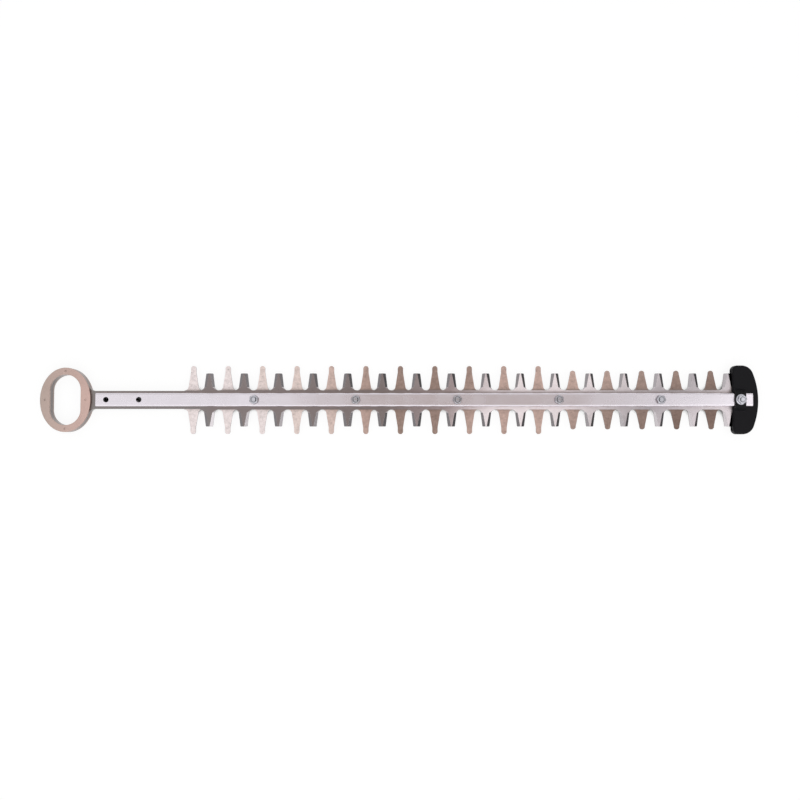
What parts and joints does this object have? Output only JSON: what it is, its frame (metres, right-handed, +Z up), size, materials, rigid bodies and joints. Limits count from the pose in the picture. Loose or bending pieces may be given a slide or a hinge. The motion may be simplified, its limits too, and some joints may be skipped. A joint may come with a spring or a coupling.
{
  "type": "hedge trimmer blade",
  "caption": "Double-sided hedge trimmer blade: two toothed steel blades that slide under a guide bar, with oval drive eyes at one end and a black guard at the other.",
  "frame": {"origin": "middle of the whole part's outline, on the surface that it lies on", "axes": "+X along the blade from the eyes to the tip guard, +Z up through the guide bar"},
  "size_m": [0.7246, 0.0696, 0.024],
  "materials": {
    "bar_steel": "satin",
    "blade_steel": "ground",
    "ring_steel": "satin",
    "zinc_plated_steel": "bright zinc plate",
    "black_nylon": "fine moulded grain"
  },
  "bodies": {
    "bar": {"guide_bar": "bar_steel", "tip_guard": "black_nylon", "tip_bolt": "zinc_plated_steel", "tip_nut": "zinc_plated_steel", "blade_bolt_1": "zinc_plated_steel", "blade_bolt_2": "zinc_plated_steel", "blade_bolt_3": "zinc_plated_steel", "blade_bolt_4": "zinc_plated_steel", "blade_bolt_5": "zinc_plated_steel", "blade_nut_1": "zinc_plated_steel", "blade_nut_2": "zinc_plated_steel", "blade_nut_3": "zinc_plated_steel", "blade_nut_4": "zinc_plated_steel", "blade_nut_5": "zinc_plated_steel", "blade_washer_1": "zinc_plated_steel", "blade_washer_2": "zinc_plated_steel", "blade_washer_3": "zinc_plated_steel", "blade_washer_4": "zinc_plated_steel", "blade_washer_5": "zinc_plated_steel", "slot_sleeve_1": "zinc_plated_steel", "slot_sleeve_2": "zinc_plated_steel", "slot_sleeve_3": "zinc_plated_steel", "slot_sleeve_4": "zinc_plated_steel", "slot_sleeve_5": "zinc_plated_steel"},
    "upper_cutter": {"upper_blade": "blade_steel", "upper_eye_ring": "ring_steel"},
    "lower_cutter": {"lower_blade": "blade_steel", "lower_eye_ring": "ring_steel"}
  },
  "joints": [
    {"name": "upper_blade_slide", "type": "slide", "parent": "bar", "child": "upper_cutter", "axis": [1, 0, 0], "range_m": [-0.0125, 0.005]},
    {"name": "lower_blade_slide", "type": "slide", "parent": "bar", "child": "lower_cutter", "axis": [1, 0, 0], "range_m": [-0.0125, 0.005]}
  ]
}
